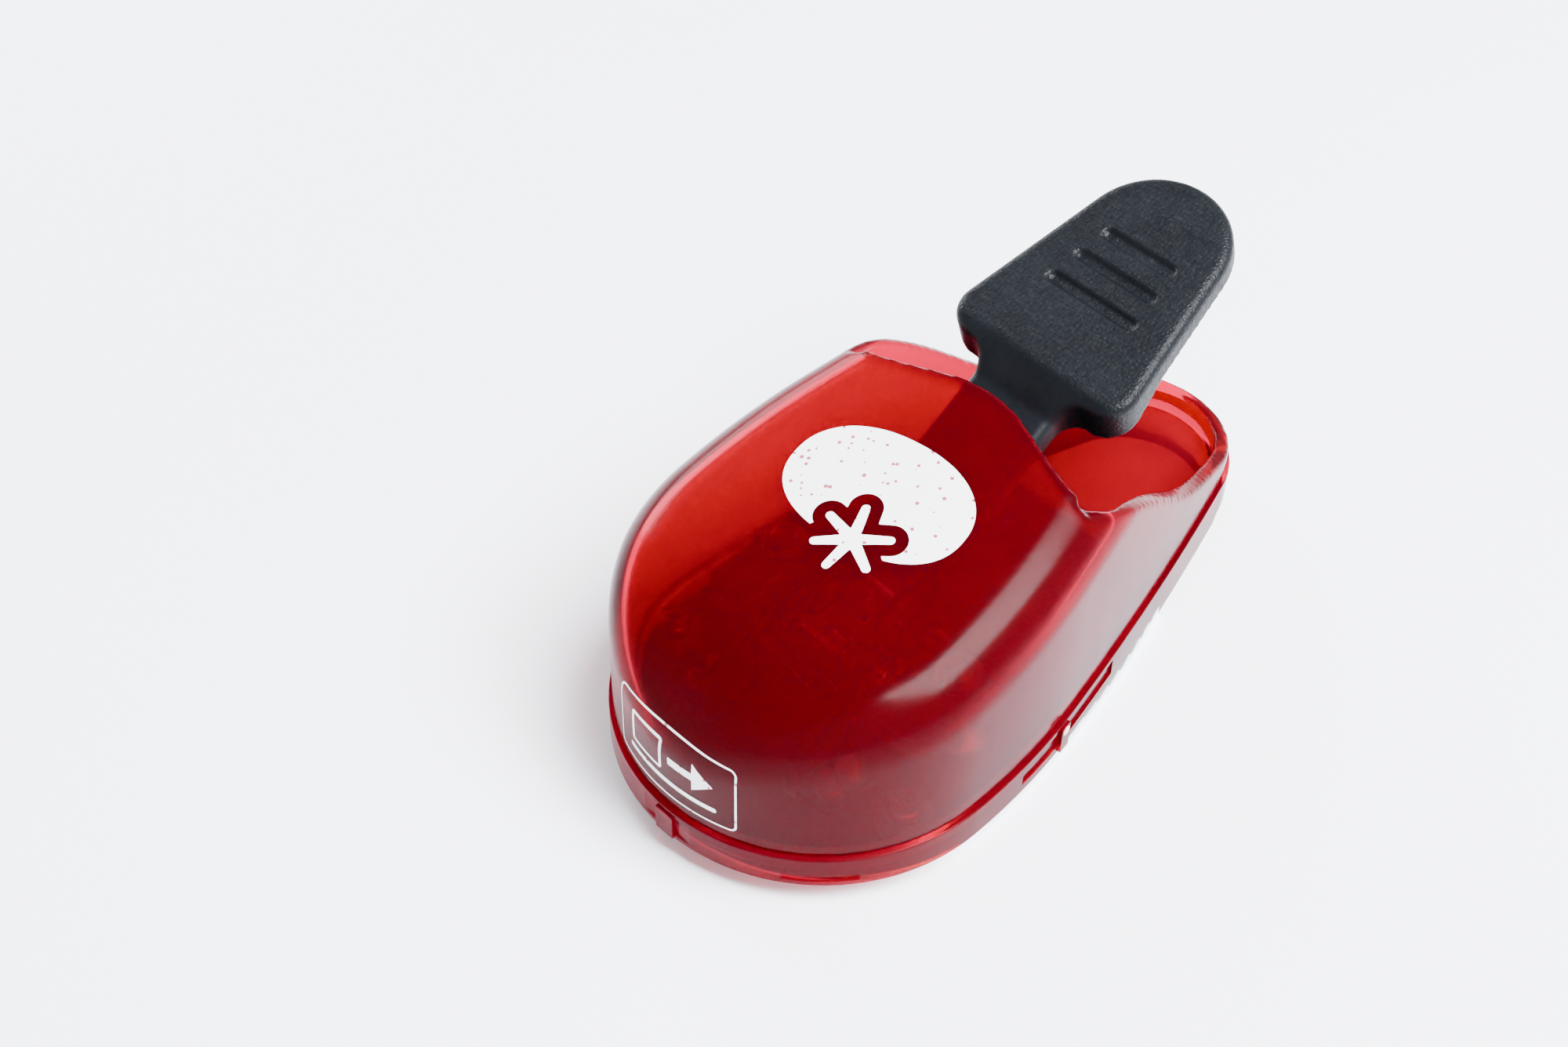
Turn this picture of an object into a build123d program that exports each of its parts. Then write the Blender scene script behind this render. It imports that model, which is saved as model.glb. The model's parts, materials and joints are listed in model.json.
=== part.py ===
from build123d import *
"""Lever craft punch: a translucent housing over a steel die set, worked by a thumb lever.

Frame: millimetres, +Z up, origin at the middle of the footprint on the table.
The paper slot opens towards -Y, the thumb lever stands out towards +Y.
"""
import os
from math import atan2, cos, radians, sin, tan

# ---- driving dimensions -------------------------------------------------------------------
NOSE_R = 30.2                   # plan radius of the round nose
NOSE_Y = -26.9                  # centre of the nose arc
FLANK_R, FLANK_TURN = 110.0, 12.4
SIDE_R = 560.0                  # nearly straight sides towards the tail
TAIL_END = 57.4                 # rear end of the cover

BAND_PROUD = 0.6                # the bottom frame stands proud of the cover
BAND_BOTTOM = 3.9
SEAM_Z = 9.5                    # seam between bottom frame and cover
WALL = 2.4                      # moulded wall
SHOULDER_R = 9.0                # round between walls and roof
SEAT = 0.02                     # seat clearance between fixed parts

CROWN_R = 160.0                 # cross curve of the roof
ROOF_Y, ROOF_Z = -17.1, 42.5    # a point on the roof's middle line
ROOF_SLOPE = 10.76              # degrees, rising to the rear
NOSE_START, NOSE_PROFILE_R = -36.5, 28.0

LATCH_X, LATCH_Y, LATCH_TURN = 28.65, -6.2, 10.9   # side latches, turned to follow the band
RECESS_DEPTH = 0.4              # recesses in the band: middle, width, length, turn, bottom, top
BAND_RECESSES = (((0, -4.0), 80, 25, 0, 5.4, 8.5), ((21.8, -48.7), 11, 8, 45, 4.7, 5.9))
FOOT_FRONT = 26.8               # the frame reaches the table behind this line
TRAY_TOP, TRAY_THICK = 9.4, 1.6

PLATE_THICK = 2.4               # lower die plate
SLOT_TOP = 3.8                  # paper slot lies between PLATE_THICK and SLOT_TOP
GUIDE_TOP = 7.2                 # top of the punch guide plate
PLATE_R, PLATE_Y = 29.8, -23.6    # nose of the lower plate
PLATE_SIDE, PLATE_REAR = (27.3, -0.6), (20.3, 26.5)
STOP_Y = 12.0                   # depth line of the paper stop

PUNCH_Y = -17.1                 # centre of the punched shape
FRUIT_X, FRUIT_Y = 12.3, 10.5   # half sizes of the fruit
STAR_R, STAR_CORE = 6.2, 2.5    # stalk star
MOAT = 1.3                      # web left between fruit and star
DIE_GAP = 0.06                  # running clearance of the punches
PUNCH_BOTTOM = 4.1

CARRIER_BOTTOM, CARRIER_TOP = 14.0, 17.5
CARRIER_X, CARRIER_Y = 45.0, 26.0
POST_X, POST_R, POST_TOP = 17.6, 2.0, 21.5
SPRING_R, WIRE_R, SPRING_TURNS = 3.1, 0.35, 5
SPRING_SEAT = 5.2

PIVOT_Y, PIVOT_Z, PIN_R = -26.0, 20.5, 1.5
ROLLER_R = 3.0
ROLLER_Z = CARRIER_TOP + 0.25 + ROLLER_R
CHEEK_IN, CHEEK_OUT = 4.6, 6.0  # steel channel of the lever
BRACKET_IN, BRACKET_OUT = 8.2, 10.2

PAD_Y, PAD_Z, PAD_SLOPE = 32.2, 53.3, 16.7
PAD_THICK = 4.2
TIP_R, TIP_V = 12.0, 7.1        # rounded tip of the thumb pad
CORNER_R, CORNER_X, CORNER_V = 4.7, 11.5, -15.4
NECK_X, NECK_Y, NECK_Z, NECK_SLOPE = 7.6, 7.9, 41.7, 29.5
NECK_END, CORE_END = -11.0, 3.2
GROOVES = ((4.7, 13.1), (-0.5, 14.7), (-5.7, 16.2))   # place along the pad, length

os.makedirs("parts", exist_ok=True)


def save(part, name):
    """Label a finished piece and write it as its own STEP file."""
    part.label = name
    export_step(part, f"parts/{name}.step")


# ---- plan outline of the housing ----------------------------------------------------------
TURN = radians(FLANK_TURN)
FLANK_X = NOSE_R - FLANK_R
SIDE_X = FLANK_X + (FLANK_R - SIDE_R) * cos(TURN)
SIDE_Y = NOSE_Y + (FLANK_R - SIDE_R) * sin(TURN)
REACH = SIDE_R - TAIL_END
TAIL_Y = (SIDE_X**2 + SIDE_Y**2 - REACH**2) / (2 * (REACH + SIDE_Y))
TAIL_TURN = atan2(TAIL_Y - SIDE_Y, -SIDE_X)


def egg(inset=0.0):
    """Closed egg outline of the housing, moved inwards by inset."""
    def on(cx, cy, radius, angle):
        return (cx + (radius - inset) * cos(angle), cy + (radius - inset) * sin(angle))

    nose = on(0, NOSE_Y, NOSE_R, 0)
    flank_mid = on(FLANK_X, NOSE_Y, FLANK_R, TURN / 2)
    flank = on(FLANK_X, NOSE_Y, FLANK_R, TURN)
    side_mid = on(SIDE_X, SIDE_Y, SIDE_R, (TURN + TAIL_TURN) / 2)
    side = on(SIDE_X, SIDE_Y, SIDE_R, TAIL_TURN)

    def left(point):
        return (-point[0], point[1])

    with BuildLine(mode=Mode.PRIVATE) as line:
        ThreePointArc(left(nose), (0, NOSE_Y - NOSE_R + inset), nose)
        ThreePointArc(nose, flank_mid, flank)
        ThreePointArc(flank, side_mid, side)
        ThreePointArc(side, (0, TAIL_END - inset), left(side))
        ThreePointArc(left(side), left(side_mid), left(flank))
        ThreePointArc(left(flank), left(flank_mid), left(nose))
    return make_face(line.edges(), mode=Mode.PRIVATE)


def roof_line(y):
    """Height of the straight part of the roof's middle line."""
    return ROOF_Z + (y - ROOF_Y) * tan(radians(ROOF_SLOPE))


CROWN_AXIS = Axis((0, 0, ROOF_Z - CROWN_R), (0, 1, 0))


def roof_body(drop=0.0):
    """Everything under the crowned roof, moved inwards by drop."""
    dy, dz = drop * sin(radians(ROOF_SLOPE)), -drop * cos(radians(ROOF_SLOPE))
    rear = (90 + dy, roof_line(90) + dz)
    start = (NOSE_START + dy, roof_line(NOSE_START) + dz)
    arc_r = NOSE_PROFILE_R - drop
    centre = (start[0] + arc_r * sin(radians(ROOF_SLOPE)),
              start[1] - arc_r * cos(radians(ROOF_SLOPE)))
    mid = (centre[0] - arc_r * cos(radians(48)), centre[1] + arc_r * sin(radians(48)))
    end = (centre[0] - arc_r, centre[1])
    low = ROOF_Z - CROWN_R + 60
    with BuildLine(Plane.YZ, mode=Mode.PRIVATE) as line:
        Line(rear, start)
        ThreePointArc(start, mid, end)
        Polyline(end, (end[0], low), (rear[0], low), rear)
    section = make_face(line.edges(), mode=Mode.PRIVATE).rotate(CROWN_AXIS, -30)
    return revolve(section, axis=CROWN_AXIS, revolution_arc=60, mode=Mode.PRIVATE)


def housing_block(inset, round_r, low):
    """Egg prism from low upwards under the crowned roof, with rounded shoulders."""
    outline, roof = egg(inset), roof_body(inset)
    with BuildPart() as block:
        with BuildSketch(Plane.XY.offset(low)):
            add(outline)
        extrude(amount=75 - low)
        add(roof, mode=Mode.INTERSECT)
        rim = [e for e in block.edges()
               if e.bounding_box().min.Z > low + 1 and e.bounding_box().size.Y > 0.5]
        fillet(rim, round_r)
    return block.part


# ---- cover --------------------------------------------------------------------------------
ARCH = ((6.5, 5.5), (11.4, 3.8), (16.6, 2.3), (20.2, 2.0), (22.2, 4.0), (23.0, 9.0))
WALL_TOP = ((1.0, 42.4), (8.5, 39.6), (18.5, 32.8), (31.5, 22.0), (41.5, 16.8),
            (52.0, 13.4), (70.0, 12.2))


def above_walls(front):
    """Side view of the space above the tail walls, behind the given line."""
    with BuildLine(Plane.YZ, mode=Mode.PRIVATE) as line:
        Spline(*WALL_TOP)
        Polyline(WALL_TOP[-1], (70, 80), (WALL_TOP[0][0], 80), WALL_TOP[0])
    area = make_face(line.edges(), mode=Mode.PRIVATE)
    with BuildPart(mode=Mode.PRIVATE) as space:
        extrude(area, amount=45, both=True)
        with Locations((0, front - 50, 40)):
            Box(41, 100, 120, mode=Mode.SUBTRACT)
    return space.part


cover_outside = housing_block(0, SHOULDER_R, SEAM_Z + SEAT)
cover_inside = housing_block(WALL, SHOULDER_R - WALL, SEAM_Z - 2)
tail_space = above_walls(8.0)
inner_outline = egg(WALL)

with BuildPart() as cover_shell:
    add(cover_outside)
    add(cover_inside, mode=Mode.SUBTRACT)
    with BuildSketch(Plane.XY.offset(SEAM_Z)):
        with BuildLine():
            Spline(*[(-x, y) for x, y in ARCH[::-1]], (0, 6.5), *ARCH)
            Polyline(ARCH[-1], (40, 9), (40, 70), (-40, 70), (-40, 9), (-ARCH[-1][0], ARCH[-1][1]))
        make_face()
        add(inner_outline, mode=Mode.INTERSECT)
    extrude(amount=60, mode=Mode.SUBTRACT)
    add(tail_space, mode=Mode.SUBTRACT)
save(cover_shell.part, "cover_shell")

# ---- bottom frame -------------------------------------------------------------------------
band_outline, cover_outline = egg(-BAND_PROUD), egg(0)
tray_outline = egg(WALL - 0.3)
rear_length = TAIL_END - FOOT_FRONT + 10
EARS = ((23.2, -34.0), (-23.2, -34.0), (18.6, 11.0), (-18.6, 11.0))

with BuildPart() as base_frame:
    with BuildSketch(Plane.XY.offset(BAND_BOTTOM)):
        add(band_outline)
        add(inner_outline, mode=Mode.SUBTRACT)
    extrude(amount=SEAM_Z - BAND_BOTTOM)
    fillet(base_frame.edges().group_by(Axis.Z)[-1].filter_by(lambda e: e.bounding_box().max.Y > 57
           or abs(e.bounding_box().max.X) > 28.5 or e.bounding_box().min.X < -28.5), 0.25)
    with BuildSketch(Plane.XY):
        add(cover_outline)
        add(inner_outline, mode=Mode.SUBTRACT)
        with Locations((0, FOOT_FRONT + rear_length / 2)):
            Rectangle(80, rear_length, mode=Mode.INTERSECT)
    extrude(amount=BAND_BOTTOM + 0.5)
    with BuildSketch(Plane.XY):
        add(cover_outline)
        with Locations((0, FOOT_FRONT + 1.1)):
            Rectangle(80, 2.2, mode=Mode.INTERSECT)
    extrude(amount=TRAY_TOP - TRAY_THICK / 2)
    with BuildSketch(Plane.XY.offset(TRAY_TOP - TRAY_THICK)):
        add(tray_outline)
        with Locations((0, FOOT_FRONT + rear_length / 2)):
            Rectangle(80, rear_length, mode=Mode.INTERSECT)
    extrude(amount=TRAY_THICK)
    # clip windows in the band with the latch tabs inside them
    with Locations((0, NOSE_Y - NOSE_R - BAND_PROUD, 6.6)):
        Box(17, 0.7, 3.8, mode=Mode.SUBTRACT)
    with Locations((0, NOSE_Y - NOSE_R - 0.1, 6.2)):
        Box(3.4, 1.6, 4.6)
    for at, width, length, turn, low, high in BAND_RECESSES:
        with BuildSketch(Plane.XY.offset(low)):
            add(egg(-BAND_PROUD - 1))
            add(egg(RECESS_DEPTH - BAND_PROUD), mode=Mode.SUBTRACT)
            with Locations(at):
                Rectangle(width, length, rotation=turn, mode=Mode.INTERSECT)
        extrude(amount=high - low, mode=Mode.SUBTRACT)
    for side in (-1, 1):
        with Locations(Location((side * LATCH_X, LATCH_Y, 6.4), (0, 0, side * LATCH_TURN))):
            Box(1.3, 2.2, 5.0)
    # ears that carry the die set
    with BuildSketch(Plane.XY.offset(GUIDE_TOP + SEAT)):
        with Locations(*EARS):
            Circle(4.2)
        add(tray_outline, mode=Mode.INTERSECT)
        with Locations(*EARS):
            Circle(1.3, mode=Mode.SUBTRACT)
    extrude(amount=SEAM_Z - GUIDE_TOP - 0.1)
save(base_frame.part, "base_frame")


# ---- punched motif: a plain round fruit with a stalk star ---------------------------------
def star_shape(grow=0.0):
    """Six-rayed star with rounded growth."""
    with BuildSketch(mode=Mode.PRIVATE) as star:
        with PolarLocations(0, 6, start_angle=8):
            Polygon((0, 0), (STAR_CORE, 0.0), (STAR_R * cos(radians(30)), STAR_R * sin(radians(30))),
                    (STAR_CORE * cos(radians(60)), STAR_CORE * sin(radians(60))), align=None)
        if grow:
            offset(amount=grow)
    return star.sketch


def fruit_shape(grow=0.0):
    """Oval fruit, open to the front, cut back round the star."""
    clear = MOAT - grow
    star = star_shape(clear)
    with BuildSketch(mode=Mode.PRIVATE) as fruit:
        Ellipse(FRUIT_X + grow, FRUIT_Y + grow)
        add(star, mode=Mode.SUBTRACT)
        with Locations((0.6, -8.5)):
            Rectangle(6.4 - 2 * grow, 8, mode=Mode.SUBTRACT)
        with Locations((0, FRUIT_Y + 1.6)):
            Circle(3.0 - grow, mode=Mode.SUBTRACT)
    return fruit.sketch


fruit_cut, star_cut = fruit_shape(DIE_GAP), star_shape(DIE_GAP)
fruit_solid, star_solid = fruit_shape(), star_shape()

BRACKET_SCREWS = ((13.4, -38.5), (13.4, -34.5), (-13.4, -38.5), (-13.4, -34.5))

# ---- die set ------------------------------------------------------------------------------
guide_outline = egg(WALL + 0.15)
DIE_SCREWS = ((-14.5, 19.0), (-5.0, 19.0), (5.0, 19.0), (14.5, 19.0))

with BuildPart() as die_plate:
    with BuildSketch():
        with BuildLine():
            ThreePointArc((-PLATE_R, PLATE_Y), (0, PLATE_Y - PLATE_R), (PLATE_R, PLATE_Y))
            ThreePointArc((PLATE_R, PLATE_Y), PLATE_SIDE, PLATE_REAR)
            Line(PLATE_REAR, (-PLATE_REAR[0], PLATE_REAR[1]))
            ThreePointArc((-PLATE_REAR[0], PLATE_REAR[1]), (-PLATE_SIDE[0], PLATE_SIDE[1]),
                          (-PLATE_R, PLATE_Y))
        make_face()
    extrude(amount=PLATE_THICK)
    fillet(die_plate.edges().group_by(Axis.Z)[-1], 0.7)
    with BuildSketch(Plane.XY):
        with Locations((0, PUNCH_Y)):
            add(fruit_cut)
            add(star_cut)
    extrude(amount=PLATE_THICK, mode=Mode.SUBTRACT)
    with Locations(*[(x, y, 0) for x, y in DIE_SCREWS]):
        Cylinder(1.05, 20, mode=Mode.SUBTRACT)
        Cone(2.2, 1.05, 1.1, align=(Align.CENTER, Align.CENTER, Align.MIN), mode=Mode.SUBTRACT)
save(die_plate.part, "die_plate")

with BuildPart() as paper_stop:
    with BuildSketch(Plane.XY.offset(PLATE_THICK + SEAT)):
        add(guide_outline)
        with Locations((0, (STOP_Y + FOOT_FRONT - 0.6) / 2)):
            Rectangle(80, FOOT_FRONT - 0.6 - STOP_Y, mode=Mode.INTERSECT)
        with Locations(*DIE_SCREWS):
            Circle(1.05, mode=Mode.SUBTRACT)
    extrude(amount=SLOT_TOP - PLATE_THICK - 2 * SEAT)
save(paper_stop.part, "paper_stop")

with BuildPart() as guide_plate:
    with BuildSketch(Plane.XY.offset(SLOT_TOP)):
        add(guide_outline)
        with Locations((0, FOOT_FRONT - 0.6 - 50)):
            Rectangle(90, 100, mode=Mode.INTERSECT)
        with Locations((0, PUNCH_Y)):
            add(fruit_cut, mode=Mode.SUBTRACT)
            add(star_cut, mode=Mode.SUBTRACT)
        with Locations((POST_X, PUNCH_Y), (-POST_X, PUNCH_Y)):
            Circle(POST_R + SEAT, mode=Mode.SUBTRACT)
        with Locations(*EARS):
            Circle(1.05, mode=Mode.SUBTRACT)
        with Locations(*DIE_SCREWS):
            Circle(1.05, mode=Mode.SUBTRACT)
        with Locations(*BRACKET_SCREWS):
            Circle(1.05, mode=Mode.SUBTRACT)
    extrude(amount=GUIDE_TOP - SLOT_TOP)
    with Locations((POST_X, PUNCH_Y, GUIDE_TOP), (-POST_X, PUNCH_Y, GUIDE_TOP)):
        Cylinder(SPRING_R + 0.6, 2 * (GUIDE_TOP - SPRING_SEAT), mode=Mode.SUBTRACT)
save(guide_plate.part, "guide_plate")


def screw(head_r, head_h, shank_r, length):
    """Round-head screw, head bottom at z=0, shank down; cross recess in the head."""
    with BuildPart(mode=Mode.PRIVATE) as body:
        Cylinder(head_r, head_h, align=(Align.CENTER, Align.CENTER, Align.MIN))
        fillet(body.edges().group_by(Axis.Z)[-1], min(head_h, head_r) * 0.45)
        Cylinder(shank_r, length, align=(Align.CENTER, Align.CENTER, Align.MAX))
        with Locations((0, 0, head_h)):
            Box(head_r * 1.1, head_r * 0.3, head_h * 0.9, mode=Mode.SUBTRACT)
            Box(head_r * 0.3, head_r * 1.1, head_h * 0.9, mode=Mode.SUBTRACT)
    return body.part


frame_screw = screw(2.3, 1.4, 1.0, 4.9)
with BuildPart() as frame_screws:
    with Locations(*[(x, y, SEAM_Z - 0.06) for x, y in EARS]):
        add(frame_screw)
save(frame_screws.part, "frame_screws")

with BuildPart() as die_screws:
    with Locations(*[(x, y, 0.06) for x, y in DIE_SCREWS]):
        Cone(2.12, 1.0, 1.08, align=(Align.CENTER, Align.CENTER, Align.MIN))
        Cylinder(1.0, 6.4, align=(Align.CENTER, Align.CENTER, Align.MIN))
        Box(2.4, 0.6, 1.0, mode=Mode.SUBTRACT)
save(die_screws.part, "die_screws")

for side, name in ((-1, "left"), (1, "right")):
    with BuildPart() as post:
        with Locations((side * POST_X, PUNCH_Y, SLOT_TOP + 0.1)):
            Cylinder(POST_R, POST_TOP - SLOT_TOP - 0.1, align=(Align.CENTER, Align.CENTER, Align.MIN))
        chamfer(post.edges().group_by(Axis.Z)[-1], 0.4)
        with Locations((side * POST_X, PUNCH_Y, 19.6)):
            Cylinder(POST_R, 0.8, mode=Mode.SUBTRACT)
            Cylinder(POST_R - 0.4, 0.8)
    save(post.part, f"post_{name}")

with BuildPart() as post_rings:
    with Locations((POST_X, PUNCH_Y, 19.6), (-POST_X, PUNCH_Y, 19.6)):
        Cylinder(3.6, 0.7)
        Cylinder(POST_R - 0.36, 0.7, mode=Mode.SUBTRACT)
        with Locations((0, -3.0, 0)):
            Box(1.8, 3.4, 0.7, mode=Mode.SUBTRACT)
save(post_rings.part, "post_rings")

# ---- moving punch -------------------------------------------------------------------------
PUNCH_SCREWS = ((9.6, 3.6), (-9.6, 3.6), (8.6, -4.4), (-8.6, -4.4), (0.0, 0.0))

with BuildPart() as punch_carrier:
    with BuildSketch(Plane.XY.offset(CARRIER_BOTTOM)):
        with Locations((0, PUNCH_Y)):
            RectangleRounded(CARRIER_X, CARRIER_Y, 4)
            with Locations((POST_X, 0), (-POST_X, 0)):
                Circle(POST_R + 0.08, mode=Mode.SUBTRACT)
            with Locations(*PUNCH_SCREWS):
                Circle(1.05, mode=Mode.SUBTRACT)
    extrude(amount=CARRIER_TOP - CARRIER_BOTTOM)
    fillet(punch_carrier.edges().group_by(Axis.Z)[-1].sort_by(Edge.length)[-1], 0.5)
    with Locations(*[(x, PUNCH_Y + y, CARRIER_TOP) for x, y in PUNCH_SCREWS]):
        Cone(1.0, 2.1, 1.1, align=(Align.CENTER, Align.CENTER, Align.MAX), mode=Mode.SUBTRACT)
save(punch_carrier.part, "punch_carrier")

for shape, holes, name in ((fruit_solid, PUNCH_SCREWS[:4], "fruit_punch"),
                           (star_solid, PUNCH_SCREWS[4:], "star_punch")):
    with BuildPart() as punch:
        with BuildSketch(Plane.XY.offset(PUNCH_BOTTOM)):
            with Locations((0, PUNCH_Y)):
                add(shape)
        extrude(amount=CARRIER_BOTTOM - SEAT - PUNCH_BOTTOM)
        with Locations(*[(x, PUNCH_Y + y, CARRIER_BOTTOM) for x, y in holes]):
            Cylinder(1.05, 8, mode=Mode.SUBTRACT)
    save(punch.part, name)

with BuildPart() as punch_screws:
    with Locations(*[(x, PUNCH_Y + y, CARRIER_TOP - 0.1) for x, y in PUNCH_SCREWS]):
        Cone(1.0, 2.0, 1.0, align=(Align.CENTER, Align.CENTER, Align.MAX))
        Cylinder(1.0, 6.6, align=(Align.CENTER, Align.CENTER, Align.MAX))
        Box(2.2, 0.5, 1.0, mode=Mode.SUBTRACT)
save(punch_screws.part, "punch_screws")

spring_low, spring_high = SPRING_SEAT + 0.05 + WIRE_R, CARRIER_BOTTOM - 0.1 - WIRE_R
for side, name in ((-1, "left"), (1, "right")):
    rise = spring_high - spring_low
    coil = Helix(rise / SPRING_TURNS, rise, SPRING_R).moved(Location((side * POST_X, PUNCH_Y, spring_low)))
    with BuildPart() as spring:
        with BuildSketch(Plane(coil @ 0, z_dir=coil % 0)):
            Circle(WIRE_R)
        sweep(path=coil, is_frenet=True)
    save(spring.part, f"spring_{name}")

# ---- pivot --------------------------------------------------------------------------------
BRACKET_SIDE = ((-42.0, GUIDE_TOP + SEAT), (-32.0, GUIDE_TOP + SEAT), (-31.0, 18.4), (-23.6, 18.4),
                (-22.6, 21.5), (-24.4, 24.0), (-28.0, 24.0), (-42.0, 13.5))
for side, name in ((-1, "left"), (1, "right")):
    with BuildPart() as bracket:
        with BuildSketch(Plane.YZ.offset(side * BRACKET_IN)) as cheek:
            Polygon(*BRACKET_SIDE, align=None)
            fillet(cheek.vertices().filter_by(lambda v: v.Y > 23), 1.6)
            with Locations((PIVOT_Y, PIVOT_Z)):
                Circle(PIN_R + 0.03, mode=Mode.SUBTRACT)
        extrude(amount=side * (BRACKET_OUT - BRACKET_IN))
        with BuildSketch(Plane.XY.offset(GUIDE_TOP + SEAT)):
            with Locations((side * (BRACKET_IN + 4.1), -36.5)):
                RectangleRounded(8.2, 10.0, 1.5)
            with Locations(*BRACKET_SCREWS):
                Circle(1.05, mode=Mode.SUBTRACT)
        extrude(amount=1.8)
    save(bracket.part, f"bracket_{name}")

small_screw = screw(1.9, 1.2, 1.0, 4.6)
with BuildPart() as bracket_screws:
    with Locations(*[(x, y, GUIDE_TOP + 1.85) for x, y in BRACKET_SCREWS]):
        add(small_screw)
save(bracket_screws.part, "bracket_screws")


def along_x(y, z):
    """Place for a part that lies along X, centred at (y, z)."""
    return Location((0, y, z), (0, 90, 0))


with BuildPart() as pivot_pin:
    with Locations(along_x(PIVOT_Y, PIVOT_Z)):
        Cylinder(PIN_R, 2 * (BRACKET_OUT + 1.7))
    chamfer(pivot_pin.edges().filter_by(GeomType.CIRCLE), 0.3)
    for side in (-1, 1):
        with Locations(Location((side * (BRACKET_OUT + 0.6), PIVOT_Y, PIVOT_Z), (0, 90, 0))):
            Cylinder(PIN_R, 0.7, mode=Mode.SUBTRACT)
            Cylinder(PIN_R - 0.35, 0.7)
save(pivot_pin.part, "pivot_pin")

with BuildPart() as pivot_rings:
    for side in (-1, 1):
        with Locations(Location((side * (BRACKET_OUT + 0.6), PIVOT_Y, PIVOT_Z), (0, 90, 0))):
            Cylinder(2.9, 0.6)
            Cylinder(PIN_R - 0.33, 0.6, mode=Mode.SUBTRACT)
            with Locations((2.4, 0, 0)):
                Box(2.6, 1.4, 0.6, mode=Mode.SUBTRACT)
save(pivot_rings.part, "pivot_rings")

with BuildPart() as pivot_bushes:
    for side in (-1, 1):
        middle = side * (CHEEK_OUT + BRACKET_IN) / 2
        with Locations(Location((middle, PIVOT_Y, PIVOT_Z), (0, 90, 0))):
            Cylinder(2.5, BRACKET_IN - CHEEK_OUT - 0.2)
            Cylinder(PIN_R + 0.03, BRACKET_IN, mode=Mode.SUBTRACT)
save(pivot_bushes.part, "pivot_bushes")

CORE_SCREWS = (-8.0, -1.0)

# ---- lever --------------------------------------------------------------------------------
NECK_RISE = tan(radians(NECK_SLOPE))


def neck_line(y, depth=0.0):
    """Height of a line parallel to the top of the neck, depth below it."""
    return NECK_Z + (y - NECK_Y) * NECK_RISE - depth / cos(radians(NECK_SLOPE))


def neck_place(y, depth, flip=0):
    """Place square to the neck, depth below the point of its top line at y."""
    slope = radians(NECK_SLOPE)
    return Location((0, y + depth * sin(slope), neck_line(y) - depth * cos(slope)),
                    (NECK_SLOPE + flip, 0, 0))


def pad_line(y, depth=0.0):
    """Height of a line parallel to the top of the thumb pad, depth below it."""
    slope = radians(PAD_SLOPE)
    return PAD_Z + (y - PAD_Y) * tan(slope) - depth / cos(slope)


pad_plane = Plane(origin=(0, PAD_Y, PAD_Z), x_dir=(1, 0, 0),
                  z_dir=(0, -sin(radians(PAD_SLOPE)), cos(radians(PAD_SLOPE))))
UNDER_Y = 25.8                  # line where pad and neck undersides meet
with BuildPart() as lever_side:
    with BuildSketch(Plane.YZ) as side_view:
        Polygon((54, pad_line(54)), (14.6, pad_line(14.6)), (10.6, neck_line(10.6)),
                (NECK_END, neck_line(NECK_END)), (NECK_END, neck_line(NECK_END, PAD_THICK)),
                (UNDER_Y, pad_line(UNDER_Y, PAD_THICK)), (54, pad_line(54, PAD_THICK)), align=None)
        corners = side_view.vertices().filter_by(lambda v: 10 < v.X < 27)
        fillet(corners, 2.4)
    extrude(amount=30, both=True)

with BuildPart() as lever_body:
    with BuildSketch(pad_plane.offset(-45)) as pad_plan:
        with Locations((0, TIP_V)):
            Circle(TIP_R)
        with Locations((CORNER_X, CORNER_V), (-CORNER_X, CORNER_V)):
            Circle(CORNER_R)
        make_hull()
        with Locations((0, -30)):
            Rectangle(2 * NECK_X, 40)
        inner = pad_plan.vertices().filter_by(lambda v: abs(abs(v.X) - NECK_X) < 0.05 and v.Y > -25)
        fillet(inner, 3.4)
    extrude(amount=60)
    add(lever_side.part, mode=Mode.INTERSECT)
    top = lever_body.faces().filter_by(lambda f: f.normal_at().dot(pad_plane.z_dir) > 0.999)
    fillet(top.sort_by(SortBy.AREA)[-1].edges().filter_by(lambda e: (e @ 0.5).Y > 15.5), 1.5)
    # pocket for the steel channel
    with BuildSketch(Plane.YZ):
        Polygon((CORE_END + 0.3, neck_line(CORE_END + 0.3, 1.6)), (-30, neck_line(-30, 1.6)),
                (-30, 10), (CORE_END + 0.3, 10), align=None)
    extrude(amount=CHEEK_OUT + 0.05, both=True, mode=Mode.SUBTRACT)
    for y in CORE_SCREWS:
        with Locations(neck_place(y, 1.8)):
            Cylinder(1.02, 2.4, mode=Mode.SUBTRACT)
    # grip grooves
    for place, length in GROOVES:
        with BuildSketch(pad_plane):
            with Locations((0, place)):
                SlotOverall(length, 2.0)
        extrude(amount=-0.7, mode=Mode.SUBTRACT)
save(lever_body.part, "lever_body")

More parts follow.
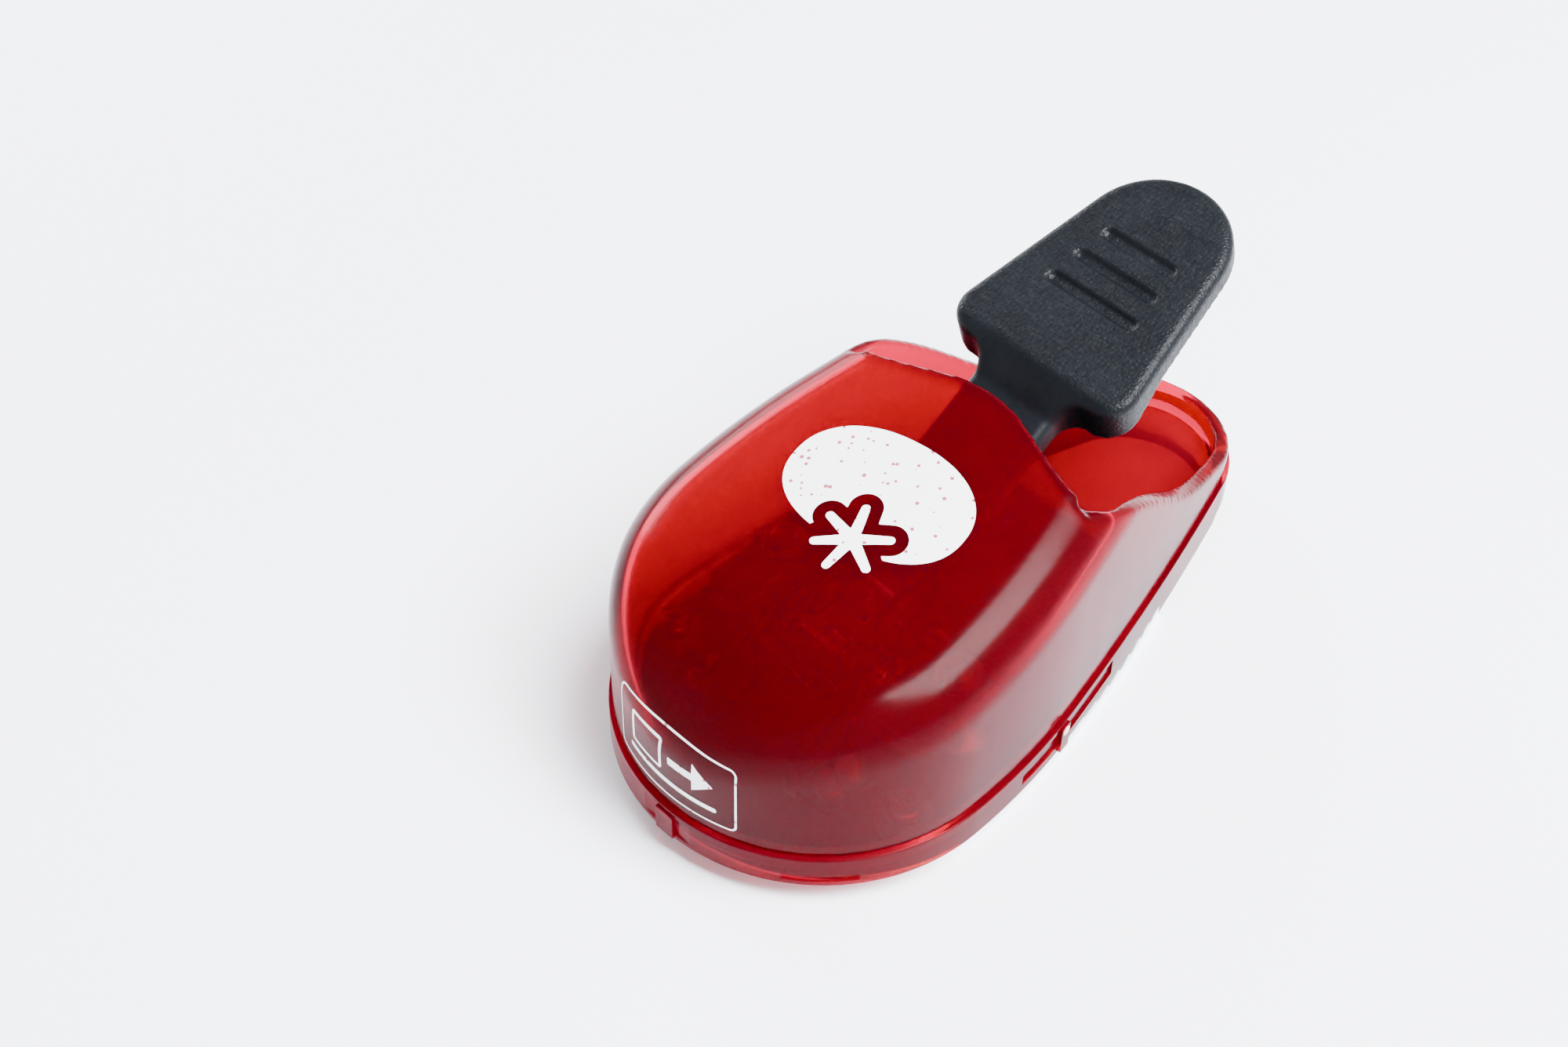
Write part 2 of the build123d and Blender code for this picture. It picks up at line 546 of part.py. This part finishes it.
with BuildPart() as lever_core:
    with BuildSketch(Plane.YZ) as channel:
        Polygon((PIVOT_Y, PIVOT_Z - 2.6), (PUNCH_Y, ROLLER_Z - 2.3), (PUNCH_Y + 1.4, ROLLER_Z - 1.9),
                (CORE_END, neck_line(CORE_END, 5.6)), (CORE_END, neck_line(CORE_END, 1.66)),
                (PUNCH_Y + 1, neck_line(PUNCH_Y + 1, 1.66)), (PIVOT_Y, PIVOT_Z + 2.6), align=None)
        with Locations((PIVOT_Y, PIVOT_Z)):
            Circle(2.6)
        with Locations((PIVOT_Y, PIVOT_Z)):
            Circle(PIN_R + 0.04, mode=Mode.SUBTRACT)
        with Locations((PUNCH_Y, ROLLER_Z)):
            Circle(1.0, mode=Mode.SUBTRACT)
    extrude(amount=CHEEK_OUT, both=True)
    with BuildSketch(Plane.YZ):
        Polygon((CORE_END, neck_line(CORE_END, 3.0)), (-24, neck_line(-24, 3.0)),
                (-32, neck_line(-32, 3.0)), (-34, 8), (CORE_END, 8), align=None)
    extrude(amount=CHEEK_IN, both=True, mode=Mode.SUBTRACT)
    with Locations((0, PIVOT_Y + 4.5, PIVOT_Z)):
        Box(2 * CHEEK_IN, 15, 16, mode=Mode.SUBTRACT)
    for y in CORE_SCREWS:
        with Locations(neck_place(y, 1.6)):
            Cylinder(1.05, 6, mode=Mode.SUBTRACT)
save(lever_core.part, "lever_core")

core_screw = screw(1.9, 1.0, 1.0, 2.1)
with BuildPart() as core_screws:
    for y in CORE_SCREWS:
        with Locations(neck_place(y, 3.05, flip=180)):
            add(core_screw)
save(core_screws.part, "core_screws")

with BuildPart() as roller_pin:
    with Locations(along_x(PUNCH_Y, ROLLER_Z)):
        Cylinder(0.98, 2 * CHEEK_OUT + 1.0)
    chamfer(roller_pin.edges().filter_by(GeomType.CIRCLE), 0.25)
save(roller_pin.part, "roller_pin")

with BuildPart() as press_roller:
    with Locations(along_x(PUNCH_Y, ROLLER_Z)):
        Cylinder(ROLLER_R, 2 * CHEEK_IN - 0.4)
        Cylinder(1.02, 20, mode=Mode.SUBTRACT)
    chamfer(press_roller.edges().filter_by(lambda e: e.bounding_box().size.Z > 5), 0.3)
save(press_roller.part, "press_roller")
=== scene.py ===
"""Looks of the lever craft punch, in metres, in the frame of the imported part."""
import json
import math

import bpy
from mathutils import Matrix, Vector, noise
from mathutils.bvhtree import BVHTree


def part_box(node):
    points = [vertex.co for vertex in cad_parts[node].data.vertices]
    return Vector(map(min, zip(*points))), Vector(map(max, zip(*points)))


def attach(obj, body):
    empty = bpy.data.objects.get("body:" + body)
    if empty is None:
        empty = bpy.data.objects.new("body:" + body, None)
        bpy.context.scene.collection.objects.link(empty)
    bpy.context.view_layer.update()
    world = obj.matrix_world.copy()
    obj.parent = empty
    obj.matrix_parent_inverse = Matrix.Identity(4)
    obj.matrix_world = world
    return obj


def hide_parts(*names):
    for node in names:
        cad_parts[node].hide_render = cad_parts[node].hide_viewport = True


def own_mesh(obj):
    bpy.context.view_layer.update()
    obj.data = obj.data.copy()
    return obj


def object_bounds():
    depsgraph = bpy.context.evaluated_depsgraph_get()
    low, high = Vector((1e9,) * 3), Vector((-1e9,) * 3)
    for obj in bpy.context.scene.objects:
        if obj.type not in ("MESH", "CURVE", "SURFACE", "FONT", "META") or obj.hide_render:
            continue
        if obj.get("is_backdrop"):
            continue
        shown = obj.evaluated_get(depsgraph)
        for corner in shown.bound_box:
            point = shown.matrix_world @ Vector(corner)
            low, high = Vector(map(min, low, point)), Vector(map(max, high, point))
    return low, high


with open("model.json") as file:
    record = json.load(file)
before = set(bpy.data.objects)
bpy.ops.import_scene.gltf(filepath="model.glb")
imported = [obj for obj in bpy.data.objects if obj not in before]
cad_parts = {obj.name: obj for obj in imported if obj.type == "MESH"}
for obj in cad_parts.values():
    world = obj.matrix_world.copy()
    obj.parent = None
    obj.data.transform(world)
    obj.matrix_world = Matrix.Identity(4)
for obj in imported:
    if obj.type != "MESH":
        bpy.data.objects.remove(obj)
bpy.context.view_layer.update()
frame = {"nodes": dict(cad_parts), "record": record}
nodes = frame["nodes"]
MM = 0.001

# ---- camera: three-quarter view from the front right, rolled a little ----------------------
AZIMUTH, ELEVATION, ROLL = math.radians(44.93), math.radians(47.02), math.radians(0.843)
CAMERA_AT = Vector((0.16793, -0.20330, 0.30571))
FOCAL_MM = 60.51

back = Vector((math.sin(AZIMUTH) * math.cos(ELEVATION), -math.cos(AZIMUTH) * math.cos(ELEVATION),
               math.sin(ELEVATION)))
right = Vector((math.cos(AZIMUTH), math.sin(AZIMUTH), 0))
up = back.cross(right)
cam_right = math.cos(ROLL) * right + math.sin(ROLL) * up
cam_up = math.cos(ROLL) * up - math.sin(ROLL) * right
camera = bpy.data.objects.new("camera", bpy.data.cameras.new("camera"))
camera.data.lens, camera.data.sensor_width = FOCAL_MM, 36.0
camera.data.clip_start, camera.data.clip_end = 0.01, 10
camera.matrix_world = Matrix((
    (cam_right.x, cam_up.x, back.x, CAMERA_AT.x), (cam_right.y, cam_up.y, back.y, CAMERA_AT.y),
    (cam_right.z, cam_up.z, back.z, CAMERA_AT.z), (0, 0, 0, 1)))
bpy.context.collection.objects.link(camera)
bpy.context.scene.camera = camera


# ---- materials ----------------------------------------------------------------------------
class Shader:
    """A Principled material with procedural layers worked out in object space."""

    def __init__(self, name, colour, rough, metallic=0.0, **sockets):
        self.mat = bpy.data.materials.new(name)
        self.mat.use_nodes = True
        self.tree = self.mat.node_tree
        self.bsdf = self.tree.nodes["Principled BSDF"]
        self.bsdf.inputs["Base Color"].default_value = (*colour, 1)
        self.bsdf.inputs["Roughness"].default_value = rough
        self.bsdf.inputs["Metallic"].default_value = metallic
        for key, value in sockets.items():
            self.bsdf.inputs[key.replace("_", " ")].default_value = value
        self.coords = self.tree.nodes.new("ShaderNodeTexCoord").outputs["Object"]

    def node(self, kind, **values):
        made = self.tree.nodes.new(kind)
        for key, value in values.items():
            if key in made.inputs:
                made.inputs[key].default_value = value
            else:
                setattr(made, key, value)
        return made

    def link(self, source, target):
        self.tree.links.new(source, target)

    def stretched(self, scale):
        made = self.node("ShaderNodeMapping")
        made.inputs["Scale"].default_value = scale
        self.link(self.coords, made.inputs["Vector"])
        return made.outputs["Vector"]

    def noise(self, scale, detail, vector=None, rough=0.5):
        made = self.node("ShaderNodeTexNoise", Scale=scale, Detail=detail, Roughness=rough)
        self.link(vector or self.coords, made.inputs["Vector"])
        return made.outputs["Fac"]

    def cells(self, scale, feature):
        made = self.node("ShaderNodeTexVoronoi", feature=feature, Scale=scale)
        self.link(self.coords, made.inputs["Vector"])
        return made.outputs["Distance"]

    def ramp(self, source, low, high, start, end):
        """Source rescaled from low..high to start..end."""
        made = self.node("ShaderNodeMapRange")
        made.inputs["From Min"].default_value, made.inputs["From Max"].default_value = low, high
        made.inputs["To Min"].default_value, made.inputs["To Max"].default_value = start, end
        self.link(source, made.inputs["Value"])
        return made.outputs["Result"]

    def colours(self, source, *stops):
        """Colour ramp over source; stops are (place, colour)."""
        made = self.node("ShaderNodeValToRGB")
        ramp = made.color_ramp
        while len(ramp.elements) < len(stops):
            ramp.elements.new(0.5)
        for element, (place, colour) in zip(ramp.elements, stops):
            element.position, element.color = place, (*colour, 1)
        self.link(source, made.inputs["Fac"])
        return made.outputs["Color"]

    def math(self, operation, a, b):
        made = self.node("ShaderNodeMath", operation=operation)
        for socket, value in zip(made.inputs, (a, b)):
            if isinstance(value, (int, float)):
                socket.default_value = value
            else:
                self.link(value, socket)
        return made.outputs["Value"]

    def axis(self, which):
        made = self.node("ShaderNodeSeparateXYZ")
        self.link(self.coords, made.inputs["Vector"])
        return made.outputs[which]

    def rough_from(self, source, low, high, start, end):
        self.link(self.ramp(source, low, high, start, end), self.bsdf.inputs["Roughness"])

    def colour_from(self, source, *stops):
        self.link(self.colours(source, *stops), self.bsdf.inputs["Base Color"])

    def bump(self, *layers):
        """Chained bumps; each layer is (height source, strength, distance in metres)."""
        normal = None
        for source, strength, distance in layers:
            made = self.node("ShaderNodeBump", Strength=strength, Distance=distance)
            self.link(source, made.inputs["Height"])
            if normal:
                self.link(normal, made.inputs["Normal"])
            normal = made.outputs["Normal"]
        self.link(normal, self.bsdf.inputs["Normal"])


def red_clear(name, colour, deep, rough, clear):
    """Translucent injection-moulded plastic: flow lines, slight ripple, a few hairline scuffs."""
    s = Shader(name, colour, rough, Transmission_Weight=clear, IOR=1.11)
    flow = s.noise(38, 3, s.stretched((1.0, 0.35, 1.0)))
    s.colour_from(flow, (0.3, deep), (0.7, colour))
    scuffs = s.noise(900, 3, s.stretched((1.0, 0.04, 0.3)))
    s.rough_from(scuffs, 0.45, 0.8, rough, rough + 0.06)
    s.bump((s.noise(60, 2), 0.10, 0.0003), (s.noise(1400, 2), 0.03, 0.00003))
    return s.mat


def black_grain(name):
    """Black moulded plastic: leather grain on the pad, plain satin on the neck."""
    s = Shader(name, (0.002, 0.0025, 0.004), 0.40, Specular_IOR_Level=0.11)
    on_pad = s.ramp(s.axis("Y"), 0.0125, 0.0155, 0.12, 1.0)
    warp = s.noise(1300, 4, rough=0.6)
    grain = s.math("MULTIPLY", s.ramp(s.cells(1500, "DISTANCE_TO_EDGE"), 0.0, 0.35, 0.0, 1.0), on_pad)
    pores = s.math("MULTIPLY", warp, on_pad)
    s.colour_from(s.noise(160, 4), (0.3, (0.0018, 0.0024, 0.0036)), (0.7, (0.0034, 0.0044, 0.0060)))
    s.rough_from(warp, 0.3, 0.7, 0.36, 0.52)
    s.bump((grain, 0.5, 0.00009), (pores, 0.5, 0.00013), (s.noise(4200, 2), 0.15, 0.00003))
    return s.mat


def metal(name, colour, rough, grain, scale, wear):
    """Worked metal with a directional grain, cloudy roughness and tiny pits."""
    s = Shader(name, colour, rough, metallic=1.0)
    lines = s.noise(scale, 4, s.stretched(grain))
    clouds = s.noise(110, 3)
    dark = tuple(c * (1 - wear) for c in colour)
    s.colour_from(s.math("MULTIPLY", lines, s.ramp(clouds, 0.3, 0.7, 0.7, 1.3)), (0.25, dark), (0.6, colour))
    s.rough_from(clouds, 0.3, 0.7, rough * 0.8, rough * 1.35)
    s.bump((lines, 0.18, 0.00004), (s.noise(2400, 2), 0.1, 0.00002))
    return s.mat


def print_white():
    """Screen-printed white ink with pinholes of bare plastic and a slightly uneven film."""
    s = Shader("print_white", (0.86, 0.86, 0.88), 0.38)
    dots = s.cells(620, "F1")
    size = s.noise(520, 2)
    holes = s.math("GREATER_THAN", s.math("SUBTRACT", s.math("MULTIPLY", size, 0.40), dots), 0.045)
    s.colour_from(s.math("SUBTRACT", 1.0, holes), (0.0, (0.30, 0.06, 0.09)), (1.0, (0.87, 0.87, 0.89)))
    s.rough_from(s.noise(300, 3), 0.3, 0.7, 0.30, 0.46)
    s.bump((s.noise(900, 3), 0.12, 0.00003), (s.math("SUBTRACT", 1.0, holes), 0.3, 0.00003))
    return s.mat


def gate_white_and_painted_glint():
    """Whitened, torn plastic where the moulding was snapped off its runner; its pale colour is also a
    painted glint.
    """
    s = Shader("gate_white_and_painted_glint", (0.80, 0.42, 0.45), 0.5, Transmission_Weight=0.25)
    # pinkish-white colour: whitened torn plastic and also a painted highlight (glint) on the latch
    s.colour_from(s.noise(1800, 4), (0.35, (0.72, 0.10, 0.14)), (0.6, (0.90, 0.70, 0.72)))
    s.rough_from(s.noise(2500, 3), 0.3, 0.7, 0.35, 0.7)
    s.bump((s.noise(1900, 5), 0.9, 0.0003))
    return s.mat


looks = {
    "red_clear": red_clear("cover_red", (0.43, 0.0028, 0.026), (0.37, 0.0022, 0.020), 0.17, 0.935),
    "black": black_grain("lever_black"),
    "zinc_steel": metal("bright_steel", (0.80, 0.81, 0.83), 0.20, (1, 0.05, 1), 700, 0.12),
    # tool steel and the zinc-plated screws are coloured darker than their bare metal: painted shade for the
    # parts under the cover
    "tool_steel": metal("ground_steel_painted_shade", (0.30, 0.30, 0.31), 0.26, (1, 1, 0.05), 1100, 0.2),
    "dark_steel": metal("stamped_steel", (0.018, 0.018, 0.020), 0.55, (0.3, 1, 1), 500, 0.35),
    "spring": metal("spring_wire", (0.62, 0.63, 0.66), 0.25, (1, 1, 0.2), 1500, 0.15),
    "fastener": metal("zinc_plate_painted_shade", (0.16, 0.16, 0.16), 0.36, (1, 1, 1), 800, 0.2),
}
ink = print_white()
looks["frame_red"] = red_clear("frame_red", (0.36, 0.002, 0.020), (0.30, 0.0015, 0.015), 0.15, 0.88)
slots = {part["node"]: part["material_slot"] for part in frame["record"]["subparts"]}
for name, obj in nodes.items():
    look = looks["frame_red" if name == "base_frame" else slots[name]]
    obj.data.materials.clear()
    obj.data.materials.append(look)


# ---- small mesh helpers -------------------------------------------------------------------
def add_piece(name, verts, faces, material, body):
    mesh = bpy.data.meshes.new(name)
    mesh.from_pydata([tuple(v) for v in verts], [], faces)
    mesh.update()
    for polygon in mesh.polygons:
        polygon.use_smooth = True
    mesh.materials.append(material)
    piece = bpy.data.objects.new(name, mesh)
    bpy.context.collection.objects.link(piece)
    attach(piece, body)
    return piece


def region(inside, low, high, step):
    """Faces of the flat region where inside(x, y) < 0, with its edge cut smoothly (millimetres)."""
    nx, ny = int((high[0] - low[0]) / step) + 1, int((high[1] - low[1]) / step) + 1
    value = [[inside(low[0] + i * step, low[1] + j * step) for j in range(ny + 1)] for i in range(nx + 1)]
    verts, faces, index = [], [], {}

    def vertex(key, x, y):
        if key not in index:
            index[key] = len(verts)
            verts.append((x, y))
        return index[key]

    for i in range(nx):
        for j in range(ny):
            corners = [(i, j), (i + 1, j), (i + 1, j + 1), (i, j + 1)]
            ring = []
            for (a, b), (c, d) in zip(corners, corners[1:] + corners[:1]):
                va, vc = value[a][b], value[c][d]
                if va < 0:
                    ring.append(vertex((a, b), low[0] + a * step, low[1] + b * step))
                if (va < 0) != (vc < 0):
                    t = va / (va - vc)
                    key = tuple(sorted(((a, b), (c, d))))
                    ring.append(vertex(key, low[0] + (a + t * (c - a)) * step,
                                       low[1] + (b + t * (d - b)) * step))
            if len(ring) > 2:
                faces.append(ring)
    return verts, faces


def wrapped(verts, cast, lift):
    """Puts flat points on the cover: cast(x, y) gives a ray as (origin, direction) in metres."""
    placed = []
    for x, y in verts:
        origin, direction = cast(x, y)
        hit, normal, _, _ = cover_tree.ray_cast(origin, direction)
        if normal.dot(direction) > 0:
            normal = -normal
        placed.append(hit + normal * lift)
    return placed


def softened(name, node, body, voxel, rounds):
    """The CAD node's shape again, with its sharp moulded edges rounded off and an even surface."""
    source = nodes[node]
    piece = bpy.data.objects.new(name, source.data.copy())
    bpy.context.collection.objects.link(piece)
    remesh = piece.modifiers.new("remesh", "REMESH")
    remesh.mode, remesh.voxel_size = "VOXEL", voxel
    soften = piece.modifiers.new("soften", "SMOOTH")
    soften.factor, soften.iterations = 0.5, rounds
    shape = piece.evaluated_get(bpy.context.evaluated_depsgraph_get())
    mesh = bpy.data.meshes.new_from_object(shape)
    piece.modifiers.clear()
    piece.data = mesh
    for polygon in mesh.polygons:
        polygon.use_smooth = True
    mesh.materials.clear()
    mesh.materials.append(source.data.materials[0])
    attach(piece, body)
    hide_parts(node)
    return piece


cover = softened("moulded_cover", "cover_shell", "housing", 0.42 * MM, 14)
softened("moulded_lever", "lever_body", "lever", 0.32 * MM, 4)
cover_tree = BVHTree.FromPolygons([v.co.copy() for v in cover.data.vertices],
                                  [tuple(p.vertices) for p in cover.data.polygons])


# ---- printed motif: a plain fruit with its stalk star -------------------------------------
INK = 0.04 * MM                 # height of the ink film above the cover
PRINT_Y = -17.1                 # centre of the print, millimetres
STAR_AT, STAR_REACH = (2.4, -7.0), 5.25
STAR_HUB, RAY_HALF, RAY_TAPER = 1.45, 0.90, 0.26
FRUIT_AT, FRUIT_TURN, FRUIT_HALF = (-0.4, 0.9), math.radians(7), (14.5, 9.6)
FRUIT_POWER = 2.25              # a little squarer than an ellipse
STAR_MOAT = 1.85                # bare plastic round the star
NOTCH_AT, NOTCH_R = (1.9, -11.4), 6.4
STAR_TURNS = [math.radians(a) for a in (114, 38, -25, -88, -138, 170)]


def star_field(x, y):
    """Distance outside the rounded six-rayed star."""
    best = math.hypot(x - STAR_AT[0], y - STAR_AT[1]) - STAR_HUB
    for turn in STAR_TURNS:
        ux, uy = math.cos(turn), math.sin(turn)
        px, py = x - STAR_AT[0], y - STAR_AT[1]
        along = min(max(px * ux + py * uy, 0.0), STAR_REACH)
        width = RAY_HALF - RAY_TAPER * along / STAR_REACH
        best = min(best, math.hypot(px - along * ux, py - along * uy) - width)
    return best


def fruit_field(x, y):
    """Negative inside the oval fruit, which is cut back round the star and open below it."""
    px, py = x - FRUIT_AT[0], y - FRUIT_AT[1]
    rx = px * math.cos(FRUIT_TURN) + py * math.sin(FRUIT_TURN)
    ry = -px * math.sin(FRUIT_TURN) + py * math.cos(FRUIT_TURN)
    reach = (abs(rx) / FRUIT_HALF[0]) ** FRUIT_POWER + (abs(ry) / FRUIT_HALF[1]) ** FRUIT_POWER
    oval = reach ** (1 / FRUIT_POWER) - 1
    notch = NOTCH_R - math.hypot(x - NOTCH_AT[0], y - NOTCH_AT[1])
    return max(oval * FRUIT_HALF[1], STAR_MOAT - star_field(x, y), notch)


def down_on_cover(x, y):
    return Vector((x * MM, (y + PRINT_Y) * MM, 0.1)), Vector((0, 0, -1))


for label, field in (("print_fruit", fruit_field), ("print_star", star_field)):
    flat, faces = region(field, (-16, -14), (16, 12), 0.2)
    add_piece(label, wrapped(flat, down_on_cover, INK), faces, ink, "housing")


# ---- printed pictogram on the nose: a sheet going in under a frame -------------------------
PANEL_HALF, PANEL_LOW, PANEL_HIGH = 11.6, 12.0, 25.0
PANEL_R, NOSE_MIDDLE_Y = 30.0, -26.9    # radius the panel is bent to, middle of the round nose


def rounded_box(x, y, cx, cy, hx, hy, r):
    dx, dy = abs(x - cx) - hx + r, abs(y - cy) - hy + r
    return math.hypot(max(dx, 0), max(dy, 0)) + min(max(dx, dy), 0) - r


def pictogram_field(x, y):
    """Thin rounded frame, a folded sheet and a broad arrow, all plain shapes."""
    mid = (PANEL_LOW + PANEL_HIGH) / 2
    outline = abs(rounded_box(x, y, 0, mid, PANEL_HALF, 6.4, 1.0)) - 0.16
    bar = rounded_box(x, y, 0, mid - 3.6, 8.6, 0.45, 0.3)
    sheet = abs(rounded_box(x, y, -4.6, mid + 1.2, 3.2, 2.9, 0.3)) - 0.28
    stem = rounded_box(x, y, 2.6, mid + 1.2, 2.4, 0.75, 0.2)
    px, py = x - 4.6, y - mid - 1.2
    head = max(abs(py) * 0.8 + px * 0.62 - 2.2, -px)
    return min(outline, bar, sheet, stem, head)


def in_on_nose(x, z):
    turn = x / PANEL_R
    direction = Vector((-math.sin(turn), math.cos(turn), 0))
    centre = Vector((0, NOSE_MIDDLE_Y * MM, z * MM))
    return centre - direction * 0.06, direction


flat, faces = region(pictogram_field, (-13, 11), (13, 26), 0.12)
add_piece("print_pictogram", wrapped(flat, in_on_nose, INK), faces, ink, "housing")

# ---- springs ------------------------------------------------------------------------------
SPRING_TURNS, WIRE, COIL_R = 6.5, 0.34, 3.08
CLOSED_TURNS, CLOSED_RISE = 0.9, 0.08   # turns lying flat at each end, their rise per turn
STEPS_A_TURN = 40


def tube(points, radius, sides=12):
    verts, faces = [], []
    for i, p in enumerate(points):
        ahead = points[min(i + 1, len(points) - 1)] - points[max(i - 1, 0)]
        ahead.normalize()
        side = ahead.cross(Vector((0, 0, 1))).normalized()
        top = side.cross(ahead)
        for k in range(sides):
            a = 2 * math.pi * k / sides
            verts.append(p + (side * math.cos(a) + top * math.sin(a)) * radius)
        if i:
            for k in range(sides):
                n = (k + 1) % sides
                faces.append([(i - 1) * sides + k, (i - 1) * sides + n, i * sides + n, i * sides + k])
    faces.append(list(range(sides))[::-1])
    faces.append([len(verts) - sides + k for k in range(sides)])
    return verts, faces


for side in ("left", "right"):
    lo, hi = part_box(f"spring_{side}")
    cx, cy = (lo[0] + hi[0]) / 2, (lo[1] + hi[1]) / 2
    low, high = lo[2] + WIRE * MM, hi[2] - WIRE * MM
    points = []
    for i in range(int(SPRING_TURNS * STEPS_A_TURN) + 1):
        turn = i / STEPS_A_TURN
        free = min(max((turn - CLOSED_TURNS) / (SPRING_TURNS - 2 * CLOSED_TURNS), 0.0), 1.0)
        ends = CLOSED_RISE * (min(turn, CLOSED_TURNS) + max(turn - SPRING_TURNS + CLOSED_TURNS, 0.0))
        height = low + (high - low) * (free * (1 - 2 * CLOSED_TURNS * CLOSED_RISE) + ends)
        points.append(Vector((cx + COIL_R * MM * math.cos(2 * math.pi * turn),
                              cy + COIL_R * MM * math.sin(2 * math.pi * turn), min(height, high))))
    verts, faces = tube(points, WIRE * MM)
    coil = add_piece(f"coil_{side}", verts, faces, looks["spring"], "housing")
    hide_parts(f"spring_{side}")
    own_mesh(coil)

# ---- torn gate mark on the right latch, pale as a painted glint ---------------------------
MARK_AT, MARK_TURN = Vector((0.02918, -0.0061, 0.0079)), math.radians(10.9)
MARK_R, MARK_RISE, MARK_TEAR = 0.85, 0.34, 0.22
outward = Vector((math.cos(MARK_TURN), math.sin(MARK_TURN), 0))
across = Vector((-math.sin(MARK_TURN), math.cos(MARK_TURN), 0))
rows, columns = 9, 16
verts, faces = [], []
for i in range(rows):
    for j in range(columns):
        a = 2 * math.pi * j / columns
        r = MARK_R * math.sin(math.pi / 2 * (i + 0.3) / rows)
        ragged = 1 + MARK_TEAR * noise.noise(Vector((math.cos(a) * 2, math.sin(a) * 2, i * 0.5)))
        rise = MARK_RISE * math.cos(math.pi / 2 * i / (rows - 1)) * ragged
        verts.append(MARK_AT + (outward * rise + across * (r * ragged * math.cos(a))) * MM
                     + Vector((0, 0, r * ragged * math.sin(a) * MM)))
for i in range(rows - 1):
    for j in range(columns):
        n = (j + 1) % columns
        faces.append([i * columns + j, i * columns + n, (i + 1) * columns + n, (i + 1) * columns + j])
faces.append(list(range(columns))[::-1])
add_piece("gate_mark_and_painted_glint", verts, faces, gate_white_and_painted_glint(), "housing")

# ---- floor and light ----------------------------------------------------------------------
floor_mesh = bpy.data.meshes.new("floor")
floor_mesh.from_pydata([(-3, -3, 0), (3, -3, 0), (3, 3, 0), (-3, 3, 0)], [], [(0, 1, 2, 3)])
floor = bpy.data.objects.new("floor", floor_mesh)
bpy.context.collection.objects.link(floor)
paper = Shader("floor_paper", (0.90, 0.92, 0.97), 0.42)
paper.colour_from(paper.noise(6, 2), (0.3, (0.89, 0.91, 0.97)), (0.7, (0.91, 0.93, 0.985)))
floor_mesh.materials.append(paper.mat)
floor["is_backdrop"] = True


def area_light(name, at, aim, size, power, colour):
    data = bpy.data.lights.new(name, "AREA")
    data.shape, data.size, data.size_y = "RECTANGLE", size[0], size[1]
    data.energy, data.color = power, colour
    lamp = bpy.data.objects.new(name, data)
    lamp.location = at
    lamp.rotation_mode = "QUATERNION"
    lamp.rotation_quaternion = (Vector(aim) - Vector(at)).to_track_quat("-Z", "Y")
    bpy.context.collection.objects.link(lamp)


CARD_TOWARD = (-0.48, -0.12, 0.87)      # a dark card here keeps reflections off the roof
SKY_STRENGTH = 1.5
area_light("key", (0.58, 0.20, 1.14), (0, 0, 0.02), (0.6, 0.9), 125.0, (0.97, 0.98, 1.0))
area_light("left_low", (-1.1, 0.24, 0.42), (0, 0, 0.03), (0.7, 0.5), 22.0, (0.95, 0.97, 1.0))
world = bpy.data.worlds.new("studio")
world.use_nodes = True
sky = world.node_tree
background = sky.nodes["Background"]
direction = sky.nodes.new("ShaderNodeTexCoord")
toward = sky.nodes.new("ShaderNodeVectorMath")
toward.operation = "DOT_PRODUCT"
toward.inputs[1].default_value = CARD_TOWARD
fade = sky.nodes.new("ShaderNodeValToRGB")
fade.color_ramp.elements[0].position, fade.color_ramp.elements[0].color = 0.50, (1.0, 1.0, 1.0, 1)
fade.color_ramp.elements[1].position, fade.color_ramp.elements[1].color = 0.85, (0.07, 0.08, 0.10, 1)
sky.links.new(direction.outputs["Generated"], toward.inputs[0])
sky.links.new(toward.outputs["Value"], fade.inputs["Fac"])
sky.links.new(fade.outputs["Color"], background.inputs["Color"])
background.inputs["Strength"].default_value = SKY_STRENGTH
bpy.context.scene.world = world

lo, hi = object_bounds()
